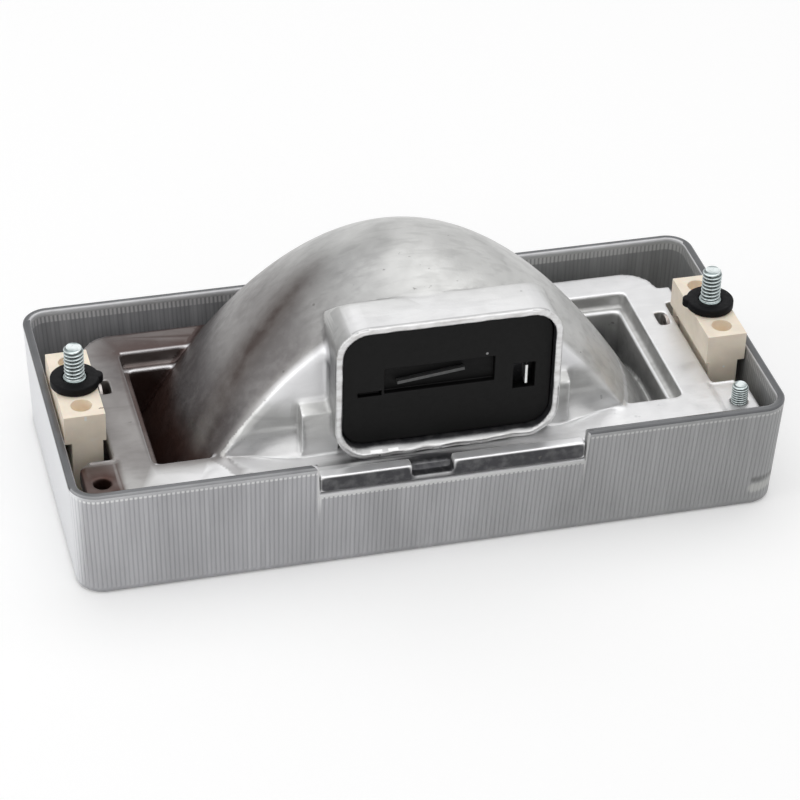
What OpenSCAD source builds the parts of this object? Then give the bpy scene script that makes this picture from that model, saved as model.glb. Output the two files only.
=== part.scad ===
/* [Lens tray] */
// Length of the tray over its rim
lens_l = 216; // [208:1:236]
// Width of the tray over its rim
lens_w = 100; // [96:1:112]
// Height from the front face to the rim
lens_h = 36; // [34:0.5:42]
// Corner radius at the rim
lens_corner_r = 8; // [6:0.5:10]
// Thickness of the tray walls
lens_wall = 2.5; // [2:0.1:2.9]
// Thickness of the front face
lens_face_t = 4; // [3:0.25:5]
// Draft of each wall over the full height
lens_draft = 1.5; // [0.5:0.1:2]
// Bevel round the front face
lens_bevel = 1.2; // [0.5:0.1:2]
// Width of one optical rib inside the front face
rib_pitch = 8; // [6:0.5:12]
// Height of the optical ribs
rib_rise = 0.7; // [0.3:0.1:0.8]
// Length of the notch in the near wall
notch_l = 80.8; // [70:0.5:90]
// Middle of the notch along the tray
notch_mid = 3.9; // [-5:0.1:5]
// Height of the notch floor above the front face
notch_floor = 26.5; // [24:0.5:27]
// Thickness of the seal between lens and casting
seal_t = 1; // [0.9:0.1:1.5]
// Width of the seal
seal_w = 4; // [3:0.5:5]

/* [Bowl] */
// Focal length of the reflecting surface
bowl_focus = 22.1; // [20:0.1:23]
// Height of the reflecting surface at its deepest point
bowl_top = 77.4; // [72:0.2:80]
// Wall of the bowl
bowl_wall = 2.6; // [2:0.1:3.2]
// Place of the optical axis across the tray
bowl_y = -4.5; // [-6:0.5:-2]
// Outer face of the near wall at the level of the plate
near_wall_y = -32; // [-34:0.5:-31]
// Outer face of the far wall at the level of the plate
far_wall_y = 38; // [32:0.5:38.5]
// Lean of the near and far walls in degrees
wall_lean = 2.6; // [1:0.1:4]
// Radius where the near wall runs into the plate
root_r = 8; // [4:0.5:10]

/* [Back plate and shelf] */
// Height of the back of the plate
plate_top = 30; // [29:0.25:31]
// Thickness of the plate
plate_t = 5; // [4:0.25:6]
// Distance from the end of the tray to the end of the plate
plate_inset = 16; // [16:0.25:17.5]
// Distance from the far side of the tray to the far edge of the plate
plate_far_inset = 10.7; // [8:0.1:12]
// Thickness of the front shelf
shelf_t = 3; // [2:0.25:4]
// Gap between the casting and the inside of the tray
tray_gap = 0.8; // [0.5:0.1:1.2]
// Corner radius of the plate at its far side
plate_corner_r = 10; // [6:0.5:12]
// Reach of each ear beyond the end of the plate
ear_reach = 10.4; // [8:0.2:11]
// Edge of each ear that faces the mounting block
ear_y = -24.5; // [-26:0.5:-22]
// Near end of the far extension
tail_y = 20.3; // [19.8:0.1:22]
// Width of the far extension
tail_w = 8.7; // [6:0.1:9]
// Reach of the far extension beyond the end of the plate
tail_reach = 4.5; // [2:0.25:5]
// Thickness of the upright webs
web_t = 2.5; // [2:0.25:3]
// Distance of the inner webs from the middle
web_inner = 20; // [14:1:28]
// Distance of the outer webs from the middle
web_outer = 58; // [50:1:66]
// Length of the lug that holds each pivot pin
lug_l = 8; // [7:0.5:12]
// Height of the lug below the middle of the pin
lug_drop = 4.5; // [4:0.25:6]

/* [Windows] */
// Distance of the outer edge of each window from the middle
window_x = 81; // [78:0.5:84]
// Near edge of the windows
window_near_y = -29.5; // [-30.5:0.25:-27]
// Far edge of the windows
window_far_y = 28.5; // [24:0.25:30]
// Corner radius of the windows
window_r = 2; // [1:0.25:4]
// Width of the ledge inside each window
ledge_w = 2.5; // [1.5:0.25:4]
// Wall of the tub below each window, outside the window's edge
tub_wall = 1.5; // [1:0.25:2]

/* [Lip over the notch] */
// Gap between the lip and the ends and floor of the notch
lip_gap = 0.5; // [0.3:0.1:1]
// Height of the raised lip above the plate
lip_rise = 2.5; // [1:0.25:4]
// Thickness of the raised lip
lip_t = 4; // [3:0.25:5]
// Width of the recess in the lip
recess_w = 12.2; // [8:0.2:16]
// Middle of the recess
recess_mid = -2.4; // [-6:0.2:6]

/* [Bulb box] */
// Length of the box mouth
box_l = 67.7; // [62:0.1:72]
// Height of the box mouth
box_h = 43.8; // [40:0.1:44]
// Middle of the box along the tray
box_mid = 4.35; // [0:0.05:6]
// Height of the middle of the box
box_z = 53.1; // [52.8:0.1:54.5]
// Depth of the box in front of the near wall
box_depth = 8.5; // [7:0.25:10]
// Corner radius of the box
box_r = 9.5; // [7:0.5:12]
// Wall of the box
box_wall = 2.2; // [1.8:0.1:3]
// Depth of the level top of the box from its mouth
box_top_depth = 15; // [12:0.5:17]
// Length of the gusset at the left side of the box
gusset_left = 8.9; // [5:0.1:12]
// Length of the gusset at the right side of the box
gusset_right = 4.7; // [3:0.1:12]
// Height of the gussets
gusset_h = 18; // [12:0.5:22]
// Reach of the gussets in front of the near wall
gusset_out = 5; // [3:0.25:7]

/* [Bulb] */
// Distance from the bulb seat to the filament
bulb_reach = 18; // [16:0.5:20]
// Radius of the glass capsule
capsule_r = 4.8; // [4:0.1:5.4]
// Wall of the glass capsule
capsule_wall = 0.9; // [0.6:0.1:1.2]
// Length of the capsule beyond the seat
capsule_l = 31; // [27:0.5:34]
// Radius of the bulb flange
flange_r = 10; // [9:0.25:11]
// Thickness of the bulb flange
flange_t = 1.2; // [0.8:0.1:1.6]
// Length of the bulb base behind its seat
base_l = 7; // [5:0.5:9]
// Radius of the bulb base at the flange
base_r = 6.2; // [5:0.1:7]
// Radius of the recess that the bulb sits in
cup_r = 13.5; // [13:0.25:15]
// Diameter of the clip wire
clip_d = 1.4; // [1:0.1:1.6]
// Length of the filament coil
filament_l = 5; // [3:0.5:6]

/* [Cover and contacts] */
// Distance of the cover face behind the box mouth
cover_sink = 2.6; // [1.5:0.1:3]
// Thickness of the cover face
cover_t = 3.2; // [2.8:0.1:3.4]
// Gap round the cover
cover_gap = 0.35; // [0.2:0.05:0.6]
// Length of the central recess of the cover
slot_l = 33; // [28:0.5:34]
// Distance of the middle of the recess from the middle of the box
slot_out = 2.35; // [1:0.05:3]
// Height of the central recess of the cover
slot_h = 8.5; // [7:0.25:10]
// Depth of the central recess
slot_depth = 2; // [1.2:0.1:2.2]
// Width of the square hole
port_w = 6.6; // [5:0.2:8]
// Height of the square hole
port_h = 8.6; // [7.4:0.2:10]
// Width of the blade terminals
blade_w = 6.3; // [4.8:0.1:6.3]
// Thickness of the blade terminals
blade_t = 0.8; // [0.5:0.1:1]
// Distance of the square hole from the middle of the box
port_out = 23.2; // [20:0.1:25]
// Distance of the narrow slit from the middle of the box
slit_out = 23.2; // [21:0.1:25]
// Drop of the hole and the slit below the middle of the box
port_drop = 2.2; // [0:0.1:4]
// Length of the contact strip
strip_l = 20.2; // [14:0.2:24]
// Distance of the middle of the strip from the middle of the box
strip_out = 4.95; // [2:0.05:6]
// Tilt of the contact strip in degrees
strip_tilt = 6.3; // [0:0.1:8]

/* [Mounting blocks] */
// Distance from the end of the tray to the stud
stud_inset = 9.3; // [9:0.1:9.6]
// Length of each block
block_l = 34; // [30:0.5:36]
// Width of the block head
head_w = 12.4; // [11:0.1:12.6]
// Height of the block head
head_h = 9.5; // [8:0.25:12]
// Gap between the block head and the plate
head_gap = 1.5; // [1:0.1:2.5]
// Width of the block neck
neck_w = 9.2; // [8:0.1:9.4]
// Length of the neck below the head
neck_h = 19; // [14:0.5:19.5]
// Distance between neighbouring stud positions
stud_step = 11.4; // [10:0.2:12]
// Depth of the spare stud holes
spare_depth = 6; // [3:0.5:7]
// Radius of the pivot pin
pin_r = 2; // [1.5:0.1:2.4]
// Running clearance of the pivot pin
pin_fit = 0.05; // [0.03:0.01:0.08]
// Place of the pivot pin along the block
pin_y = 12; // [8:0.5:12.5]
// Height of the pivot pin below the back of the plate
pin_drop = 2.4; // [2:0.1:4]

/* [Studs, washers and aim screw] */
// Radius of the studs
stud_r = 3; // [2.5:0.5:4]
// Length of the stud above the block
stud_l = 13; // [10:0.5:20]
// Depth of the stud in the block
stud_root = 15; // [10:0.5:20]
// Step from the thread of the stud to its plain shoulder
stud_step_r = 0.4; // [0.2:0.05:0.6]
// Radius of the washers
washer_r = 7.3; // [6.5:0.1:8]
// Thickness of the washers
washer_t = 2.7; // [2:0.1:4]
// Gap between the washer and the shoulder of the stud
washer_fit = 0.2; // [0.1:0.05:0.4]
// Radius of the aim screw
screw_r = 2.5; // [2:0.25:3]
// Height of the aim screw above the ear
screw_l = 5.5; // [3:0.5:8]
// Depth of the head of the aim screw below the plate
screw_drop = 8; // [6:0.5:10]
// Radius of the head of the aim screw
screw_head_r = 4.5; // [4:0.25:5]
// Distance of the ear holes from the near side of the tray
ear_hole_y = 15; // [13:0.5:17]
// Distance of the ear holes from the end of the tray
ear_hole_x = 11; // [10:0.25:12]

/* [Hidden] */
$fn = 64;
eps = 0.01;
end_x = lens_l / 2;
side_y = lens_w / 2;

// Inside of the tray, by height
function tray_x(z) = end_x - lens_draft * (lens_h - z) / lens_h - lens_wall;
function tray_y(z) = side_y - lens_draft * (lens_h - z) / lens_h - lens_wall;

shelf_z = lens_face_t + seal_t;
shelf_x = tray_x(shelf_z) - tray_gap;
shelf_y = tray_y(shelf_z) - tray_gap;
plate_x = end_x - plate_inset;
plate_near = -(tray_y(plate_top - plate_t) - tray_gap);
plate_far = side_y - plate_far_inset;
plate_z = plate_top - plate_t;

// The bowl: the outer skin is a slightly wider parabola
outer_top = bowl_top + bowl_wall;
flank_share = 0.3;
outer_focus = bowl_focus + flank_share * bowl_wall;
focus_z = bowl_top - bowl_focus;
bowl_steps = 20;
lean = tan(wall_lean);
function near_y(z) = near_wall_y + (z - plate_top) * lean;
function far_y(z) = far_wall_y - (z - plate_top) * lean;

box_front = near_wall_y - box_depth;
box_floor = near_y(focus_z) - 0.4;
box_back = box_front + box_top_depth;
box_end = bowl_y - 4;
inner_l = box_l - 2 * box_wall;
inner_h = box_h - 2 * box_wall;
inner_r = box_r - box_wall;

seat_y = bowl_y - bulb_reach;
seat_t = 2;
cup_wall = 2.2;
seat_hole_r = capsule_r + 1;

cover_front = box_front + cover_sink;
cover_back = cover_front + cover_t;
slot_z = focus_z - 0.6;
port_x = box_mid + port_out;
slit_x = box_mid - slit_out;
port_z = box_z - port_drop;

stud_x = end_x - stud_inset;
shoulder_r = stud_r + stud_step_r;
neck_shift = 0.6;
neck_x = stud_x - neck_shift;
neck_in = neck_x - neck_w / 2;
neck_out = neck_x + neck_w / 2;
head_z = plate_top + head_gap;
block_top = head_z + head_h;
neck_z = head_z - neck_h;
pin_z = plate_top - pin_drop;
pin_head_r = pin_r + 1.1;
lug_x = plate_x - 2;

module rounded_rect(l, w, r) {
    square([l - 2 * r, w], center = true);
    square([l, w - 2 * r], center = true);
    for (sx = [-1, 1], sy = [-1, 1])
        translate([sx * (l / 2 - r), sy * (w / 2 - r)]) circle(r);
}

// A plate in the XZ plane that runs from y0 to y1
module along_y(y0, y1) {
    translate([0, y1, 0]) rotate([90, 0, 0]) linear_extrude(y1 - y0) children();
}

// An outline in the YZ plane that runs from x0 to x1
module along_x(x0, x1) {
    translate([x0, 0, 0]) rotate([90, 0, 90]) linear_extrude(x1 - x0) children();
}

module slab(half_l, half_w, r, z) {
    translate([0, 0, z]) linear_extrude(eps) rounded_rect(2 * half_l, 2 * half_w, r);
}

// A drafted tray body from the front face to the rim
module tray_body(inset, z0, bevel) {
    foot = inset + lens_draft;
    hull() {
        slab(end_x - foot - bevel, side_y - foot - bevel, lens_corner_r - inset - bevel / 2, z0, $fn = 32);
        slab(end_x - foot, side_y - foot, lens_corner_r - inset, z0 + bevel, $fn = 32);
        slab(end_x - inset, side_y - inset, lens_corner_r - inset, lens_h - eps, $fn = 32);
    }
}

module lens() {
    rib_r = (pow(rib_pitch / 2, 2) + pow(rib_rise, 2)) / (2 * rib_rise);
    rib_n = floor((shelf_x - seal_w - 6) / rib_pitch);
    inner_bevel = 0.6;
    color("gainsboro", 0.6) {
        difference() {
            tray_body(0, 0, lens_bevel);
            tray_body(lens_wall, lens_face_t, inner_bevel);
            translate([notch_mid - notch_l / 2, -side_y - 1, notch_floor])
                cube([notch_l, lens_wall + lens_draft + 2, lens_h]);
        }
        intersection() {
            for (i = [-rib_n : rib_n])
                translate([i * rib_pitch, 0, lens_face_t + rib_rise - rib_r])
                    rotate([90, 0, 0]) cylinder(r = rib_r, h = 2 * shelf_y - 4 * seal_w, center = true);
            translate([0, 0, lens_face_t + 0.5 - eps])
                cube([(2 * rib_n + 1) * rib_pitch, lens_w, 1], center = true);
        }
    }
}

module lens_seal() {
    color("dimgray") translate([0, 0, lens_face_t]) linear_extrude(seal_t) difference() {
        rounded_rect(2 * shelf_x - 2, 2 * shelf_y - 2, lens_corner_r - lens_wall);
        rounded_rect(2 * (shelf_x - 1 - seal_w), 2 * (shelf_y - 1 - seal_w), 2);
    }
}

// Solid parabola of revolution above height z0
module parabola(focus, top, z0) {
    r_low = sqrt(4 * focus * (top - z0));
    translate([0, bowl_y, 0]) rotate_extrude($fn = 128) polygon(concat(
        [
            for (i = [0 : bowl_steps])
                [r_low * i / bowl_steps, top - pow(r_low * i / bowl_steps, 2) / (4 * focus)]
        ],
        [[0, z0]]));
}

// Space between the leaning near and far walls
module between_walls(inset, z0) {
    along_x(-end_x, end_x) polygon([
        [near_y(z0) + inset, z0], [far_y(z0) - inset, z0],
        [far_y(outer_top) - inset, outer_top + 1], [near_y(outer_top) + inset, outer_top + 1]]);
}

module bowl_outside() {
    intersection() {
        parabola(outer_focus, outer_top, shelf_z);
        between_walls(0, shelf_z);
    }
}

module bowl_inside() {
    intersection() {
        parabola(bowl_focus, bowl_top, shelf_z - 1);
        between_walls(bowl_wall, shelf_z - 1);
    }
}

module plate_outline() {
    ear_x = plate_x + ear_reach;
    ear_r = 4;
    translate([-plate_x, plate_near]) square([2 * plate_x, plate_far - plate_corner_r - plate_near]);
    translate([-plate_x + plate_corner_r, 0]) square([2 * (plate_x - plate_corner_r), plate_far]);
    for (s = [-1, 1]) {
        translate([s * (plate_x - plate_corner_r), plate_far - plate_corner_r]) circle(plate_corner_r);
        translate([s > 0 ? 0 : -plate_x - tail_reach, tail_y]) square([plate_x + tail_reach, tail_w]);
        translate([s > 0 ? 0 : -ear_x, plate_near + ear_r]) square([ear_x, ear_y - plate_near - 2 * ear_r]);
        translate([s > 0 ? 0 : -ear_x + ear_r, plate_near]) square([ear_x - ear_r, ear_y - plate_near]);
        for (y = [plate_near + ear_r, ear_y - ear_r]) translate([s * (ear_x - ear_r), y]) circle(ear_r);
    }
}

// Outline of both windows, narrowed by inset
module window_outline(inset) {
    w = 2 * (window_x - inset);
    h = window_far_y - window_near_y - 2 * inset;
    translate([0, (window_near_y + window_far_y) / 2]) rounded_rect(w, h, window_r);
}

// Plate, shelf and the tub below the windows, with both windows open
module plate_and_shelf() {
    difference() {
        union() {
            translate([0, 0, shelf_z]) linear_extrude(shelf_t)
                rounded_rect(2 * shelf_x, 2 * shelf_y, lens_corner_r - lens_wall - tray_gap);
            translate([0, 0, plate_z]) linear_extrude(plate_t) plate_outline();
            translate([0, 0, shelf_z + shelf_t / 2])
                linear_extrude(plate_z - shelf_z) window_outline(-tub_wall);
            for (x = [-web_outer, -web_inner, web_inner, web_outer])
                translate([x - web_t / 2, plate_near + 1, shelf_z + shelf_t / 2])
                    cube([web_t, window_near_y - plate_near, plate_z - shelf_z]);
            for (s = [-1, 1])
                translate([s > 0 ? window_x - 1 : -plate_x, pin_y - lug_l / 2, pin_z - lug_drop])
                    cube([plate_x - window_x + 1, lug_l, lug_drop]);
        }
        translate([0, 0, plate_z]) linear_extrude(plate_t + 1) window_outline(0);
        translate([0, 0, shelf_z + shelf_t]) linear_extrude(plate_t + plate_z) window_outline(ledge_w);
    }
}

// Fillet where the near wall of the bowl runs into the plate, ended by the round of the bowl
module root_fillet() {
    root_x = sqrt(4 * outer_focus * (outer_top - plate_top) - pow(near_wall_y - bowl_y, 2)) - 0.5;
    steps = 8;
    intersection() {
        along_x(-root_x, root_x) polygon(concat(
            [[near_wall_y + 1.5, plate_z + 1], [near_wall_y - root_r, plate_z + 1]],
            [for (i = [0 : steps]) [near_wall_y - root_r * (1 - sin(90 * i / steps)),
                plate_top + 0.1 + root_r * (1 - cos(90 * i / steps))]],
            [[near_wall_y + 1.5, plate_top + root_r + 0.1]]));
        parabola(outer_focus, outer_top, plate_z);
    }
}

module box_outside() {
    intersection() {
        translate([box_mid, 0, box_z]) along_y(box_front, box_end) rounded_rect(box_l, box_h, box_r);
        along_x(-end_x, end_x) polygon([
            [box_front - 1, 0], [box_front - 1, outer_top + 1], [box_back - 1, box_z + box_h / 2 + 1],
            [box_end, box_z + box_h / 2 - (box_end - box_back)], [box_end, 0]]);
    }
}

module lip() {
    lip_l = notch_l - 2 * lip_gap;
    lip_z = notch_floor + lip_gap;
    difference() {
        union() {
            translate([notch_mid - lip_l / 2, -side_y, lip_z])
                cube([lip_l, side_y + plate_near + 2, plate_top - lip_z]);
            translate([notch_mid - lip_l / 2, -side_y, plate_top - eps])
                cube([lip_l, lip_t, lip_rise + eps]);
        }
        translate([recess_mid - recess_w / 2, -side_y - 1, lip_z + 1.5])
            cube([recess_w, lip_t + 1, lens_h]);
    }
}

module gusset(from, to) {
    along_x(from, to) polygon([
        [near_wall_y + 2, plate_z], [near_wall_y - gusset_out, plate_z],
        [near_wall_y - gusset_out + 1, plate_top + gusset_h - 3], [near_wall_y + 2, plate_top + gusset_h]]);
}

module reflector_housing() {
    color("silver") difference() {
        union() {
            difference() {
                union() {
                    plate_and_shelf();
                    bowl_outside();
                    root_fillet();
                    box_outside();
                    gusset(box_mid - box_l / 2 - gusset_left, box_mid - box_l / 2 + box_wall);
                    gusset(box_mid + box_l / 2 - box_wall, box_mid + box_l / 2 + gusset_right);
                    lip();
                }
                bowl_inside();
            }
            translate([0, 0, focus_z]) along_y(box_floor, seat_y + seat_t) circle(cup_r + cup_wall);
        }
        translate([0, 0, focus_z]) along_y(box_floor - 1, seat_y) circle(cup_r);
        translate([0, 0, focus_z]) along_y(box_floor - 1, seat_y + seat_t + 1) circle(seat_hole_r);
        translate([box_mid, 0, box_z])
            along_y(box_front - 1, box_floor) rounded_rect(inner_l, inner_h, inner_r);
        for (s = [-1, 1]) {
            translate([s * (end_x - ear_hole_x), -side_y + ear_hole_y, plate_z - 1])
                cylinder(r = screw_r, h = plate_t + 2);
            translate([s * (plate_x + 1), pin_y, pin_z]) rotate([0, -90 * s, 0]) cylinder(r = pin_r, h = 4);
            translate([s * (lug_x - 1.75), pin_y, pin_z - pin_head_r + 10])
                cube([3.5, 2 * pin_head_r + 1, 20], center = true);
        }
    }
}

// Turns a shape built along +Z so that it points along the bulb, from its seat
module at_seat() {
    translate([0, seat_y, focus_z]) rotate([-90, 0, 0]) children();
}

module bulb_base() {
    color("lightgray") at_seat() {
        translate([0, 0, -flange_t]) cylinder(r = flange_r, h = flange_t);
        translate([0, 0, -base_l]) cylinder(r1 = 0.75 * base_r, r2 = base_r, h = base_l - flange_t + eps);
        cylinder(r = capsule_r - capsule_wall, h = 3);
    }
}

module bulb_capsule() {
    shoulder = capsule_l - 6;
    taper_l = 4;
    nipple_r = 1;
    color("lightcyan", 0.5) at_seat() difference() {
        union() {
            cylinder(r = capsule_r, h = shoulder);
            translate([0, 0, shoulder]) cylinder(r1 = capsule_r, r2 = nipple_r + 0.6, h = taper_l);
            cylinder(r = nipple_r, h = capsule_l);
        }
        translate([0, 0, -1]) cylinder(r = capsule_r - capsule_wall, h = shoulder + 1);
        translate([0, 0, shoulder - eps])
            cylinder(r1 = capsule_r - capsule_wall, r2 = nipple_r - 0.1, h = taper_l - capsule_wall - 0.3);
    }
}

module bulb_filament() {
    wire_r = 0.3;
    color("gray") {
        at_seat() for (s = [-1, 1])
            translate([0, s * (filament_l / 2 + wire_r), 3])
                cylinder(r = wire_r, h = bulb_reach - 3 + wire_r);
        translate([0, bowl_y, focus_z]) cylinder(r = 0.7, h = filament_l + 2 * wire_r, center = true);
    }
}

module bulb_clip() {
    y = seat_y - flange_t - clip_d / 2;
    span = base_r + clip_d;
    leg_l = 18.5;
    hook_l = 4;
    color("slategray") translate([0, y, focus_z]) {
        for (s = [-1, 1]) {
            translate([s * span, 0, 0]) cylinder(r = clip_d / 2, h = leg_l, center = true);
            translate([s * span, -hook_l, -leg_l / 2])
                rotate([-90, 0, 0]) cylinder(r = clip_d / 2, h = hook_l);
        }
        translate([0, 0, leg_l / 2]) rotate([0, 90, 0])
            cylinder(r = clip_d / 2, h = 2 * span + clip_d, center = true);
    }
}

module bulb_cover() {
    color([0.12, 0.12, 0.12]) difference() {
        translate([box_mid, 0, box_z]) along_y(cover_front, cover_back)
            rounded_rect(inner_l - 2 * cover_gap, inner_h - 2 * cover_gap, inner_r - cover_gap);
        translate([box_mid - slot_out, 0, slot_z]) along_y(cover_front - 1, cover_front + slot_depth)
            square([slot_l, slot_h], center = true);
        translate([port_x, 0, port_z]) along_y(cover_front - 1, cover_back + 1)
            square([port_w, port_h], center = true);
        translate([slit_x, 0, port_z]) along_y(cover_front - 1, cover_back + 1)
            square([blade_w + 0.8, blade_t + 0.8], center = true);
    }
}

module cover_seal() {
    color("black") translate([box_mid, 0, box_z]) along_y(cover_back, box_floor) difference() {
        rounded_rect(inner_l - 2 * cover_gap, inner_h - 2 * cover_gap, inner_r - cover_gap);
        rounded_rect(inner_l - 4, inner_h - 4, inner_r - 2);
    }
}

module contact_strip() {
    color("lightgray") translate([box_mid - strip_out, 0, slot_z]) rotate([0, -strip_tilt, 0])
        along_y(cover_front + 0.2, cover_front + slot_depth) square([strip_l, 1], center = true);
}

module supply_blade() {
    color("lightgray") translate([port_x + 0.8, 0, port_z])
        along_y(cover_front + 0.4, cover_back + 0.6) square([blade_t, blade_w], center = true);
}

module earth_blade() {
    color("lightgray") translate([slit_x, 0, port_z])
        along_y(cover_front + 1, cover_back + 0.6) square([blade_w, blade_t], center = true);
}

// A mounting block on the side s
module block(s) {
    color("wheat") difference() {
        union() {
            translate([s * stud_x, 0, head_z + head_h / 2]) cube([head_w, block_l, head_h], center = true);
            translate([s * neck_x, 0, head_z - neck_h / 2 + 0.5])
                cube([neck_w, block_l, neck_h + 1], center = true);
        }
        for (i = [-1, 1]) translate([s * stud_x, i * stud_step, block_top - spare_depth])
            cylinder(r = stud_r + 0.1, h = spare_depth + 1);
        translate([s * stud_x, 0, block_top - stud_root]) cylinder(r = shoulder_r, h = stud_root + 1);
        translate([s * neck_x, pin_y, pin_z]) rotate([0, 90, 0])
            cylinder(r = pin_r + pin_fit, h = neck_w + 4, center = true);
    }
}

module block_left() { block(-1); }

module block_right() { block(1); }

// A tubular pin through the lug and the neck on the side s
module pivot_pin(s) {
    inner_x = lug_x - 1;
    outer_x = neck_out + 0.2;
    color("silver") translate([0, pin_y, pin_z]) rotate([0, 90 * s, 0]) difference() {
        union() {
            translate([0, 0, inner_x]) cylinder(r = pin_r, h = outer_x + 0.8 - inner_x);
            translate([0, 0, inner_x]) cylinder(r = pin_head_r, h = lug_x - inner_x);
            translate([0, 0, outer_x]) cylinder(r = pin_head_r, h = 0.8);
        }
        translate([0, 0, inner_x - 1]) cylinder(r = pin_r - 1, h = 7);
    }
}

module pivot_pin_left() { pivot_pin(-1); }

module pivot_pin_right() { pivot_pin(1); }

// A stud whose plain shoulder ends level with the washer
module stud(s) {
    tip = 0.8;
    color("lightsteelblue") translate([s * stud_x, 0, block_top]) {
        translate([0, 0, -stud_root]) cylinder(r = shoulder_r, h = stud_root + washer_t);
        cylinder(r = stud_r, h = stud_l - tip);
        translate([0, 0, stud_l - tip]) cylinder(r1 = stud_r, r2 = stud_r - tip, h = tip);
    }
}

module stud_left() { stud(-1); }

module stud_right() { stud(1); }

module washer(s) {
    color([0.06, 0.06, 0.07]) translate([s * stud_x, 0, block_top]) linear_extrude(washer_t) difference() {
        union() {
            circle(washer_r);
            rotate(s > 0 ? 165 : 0) translate([washer_r, 0]) square([2, 2.4], center = true);
        }
        circle(shoulder_r + washer_fit);
    }
}

module washer_left() { washer(-1); }

module washer_right() { washer(1); }

module aim_screw() {
    tip = 0.6;
    head_t = 3;
    color("lightsteelblue") translate([end_x - ear_hole_x, -side_y + ear_hole_y, 0]) {
        translate([0, 0, plate_z - screw_drop])
            cylinder(r = screw_r, h = plate_t + screw_drop + screw_l - tip);
        translate([0, 0, plate_top + screw_l - tip]) cylinder(r1 = screw_r, r2 = screw_r - tip, h = tip);
        translate([0, 0, plate_z - screw_drop - head_t]) cylinder(r = screw_head_r, h = head_t);
    }
}

lens();
lens_seal();
reflector_housing();
bulb_base();
bulb_capsule();
bulb_filament();
bulb_clip();
bulb_cover();
cover_seal();
contact_strip();
supply_blade();
earth_blade();
block_left();
block_right();
pivot_pin_left();
pivot_pin_right();
stud_left();
stud_right();
washer_left();
washer_right();
aim_screw();
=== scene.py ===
import math

import bmesh
import bpy
from bpy.props import FloatProperty, FloatVectorProperty, PointerProperty
from mathutils import Matrix, Vector, noise


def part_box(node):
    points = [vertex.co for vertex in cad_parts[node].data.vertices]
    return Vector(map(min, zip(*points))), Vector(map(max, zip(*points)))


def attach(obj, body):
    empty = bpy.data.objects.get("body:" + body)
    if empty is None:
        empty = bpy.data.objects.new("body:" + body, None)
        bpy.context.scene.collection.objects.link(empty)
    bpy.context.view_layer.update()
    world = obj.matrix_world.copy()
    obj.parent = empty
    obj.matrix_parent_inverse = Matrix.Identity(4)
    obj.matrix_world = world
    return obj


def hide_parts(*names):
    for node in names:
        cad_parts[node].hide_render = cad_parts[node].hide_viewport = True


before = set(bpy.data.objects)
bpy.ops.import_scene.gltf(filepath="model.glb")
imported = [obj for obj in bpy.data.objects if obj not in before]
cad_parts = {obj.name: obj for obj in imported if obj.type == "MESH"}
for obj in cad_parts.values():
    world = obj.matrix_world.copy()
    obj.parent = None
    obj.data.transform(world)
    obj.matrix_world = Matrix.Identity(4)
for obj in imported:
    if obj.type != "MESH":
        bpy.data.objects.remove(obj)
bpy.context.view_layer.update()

bl_info = {
    "name": "Driving light",
    "version": (1, 0, 0),
    "blender": (4, 5, 0),
    "location": "View3D > Sidebar > Driving light",
    "description": "Dresses the rectangular driving light with its glass, casting, bulb and mounting parts",
    "category": "Object",
}

MM = 0.001


# Boxes of the frame's nodes, in millimetres
def node_box(node):
    low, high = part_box(node)
    return low / MM, high / MM


LENS_HIGH = node_box("lens")[1]
COVER_FRONT = node_box("bulb_cover")[0].y

# Places on the casting, in millimetres
PLATE_Z = 30
BOWL_Y = -4.5
CROWN_Z, INNER_CROWN_Z = 80, 77.4
FOCUS, INNER_FOCUS = 22.88, 22.1
NEAR_WALL_Y = -32
FAR_WALL_Y = 38
WALL_LEAN = math.tan(math.radians(2.6))
BOX_X, BOX_Z = 4.35, 53.1
BOX_LEFT, BOX_RIGHT, BOX_TOP = -31, 39.5, 76
MOUTH_Y = -41.6
STREAK_LEAN = 0.498


# Meshes and pieces
def resize(bm, factor):
    """Scales a whole mesh about the origin."""
    bmesh.ops.scale(bm, vec=(factor, factor, factor), verts=bm.verts)


def make_piece(name, bm, finishes, body, stands_for, sharp=40.0):
    """Turns a mesh built in millimetres into a finished piece of the lamp."""
    resize(bm, MM)
    mesh = bpy.data.meshes.new(name)
    bm.to_mesh(mesh)
    bm.free()
    for finish in finishes:
        mesh.materials.append(finish.material)
    mesh.shade_smooth()
    mesh.set_sharp_from_angle(angle=math.radians(sharp))
    piece = bpy.data.objects.new(name, mesh)
    bpy.context.scene.collection.objects.link(piece)
    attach(piece, body)
    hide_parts(*stands_for)
    return piece


def settle(piece):
    """Applies the modifiers of a piece to its mesh."""
    graph = bpy.context.evaluated_depsgraph_get()
    solid = bpy.data.meshes.new_from_object(piece.evaluated_get(graph))
    piece.modifiers.clear()
    piece.data = solid


def cad_copy(node, flat_angle=0.4):
    """Copies a node of the frame in millimetres, welded, with its flat faces joined."""
    bm = bmesh.new()
    bm.from_mesh(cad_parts[node].data)
    resize(bm, 1 / MM)
    bmesh.ops.remove_doubles(bm, verts=bm.verts, dist=0.002)
    if flat_angle:
        bmesh.ops.dissolve_limit(bm, angle_limit=math.radians(flat_angle), verts=bm.verts, edges=bm.edges)
    return bm


def softened(name, node, finish, body, radius=0.3, segments=2):
    """A copy of a node with its sharp edges rounded."""
    piece = make_piece(name, cad_copy(node), [finish], body, [node])
    bevel = piece.modifiers.new("Edge radius", "BEVEL")
    bevel.width = radius * MM
    bevel.segments = segments
    bevel.limit_method = "ANGLE"
    bevel.angle_limit = math.radians(35)
    bevel.harden_normals = True
    settle(piece)


def relax(bm, verts, turns):
    """Smooths these verts over and over."""
    for turn in range(turns):
        bmesh.ops.smooth_vert(bm, verts=verts, factor=0.5, use_axis_x=True, use_axis_y=True, use_axis_z=True)


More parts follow.
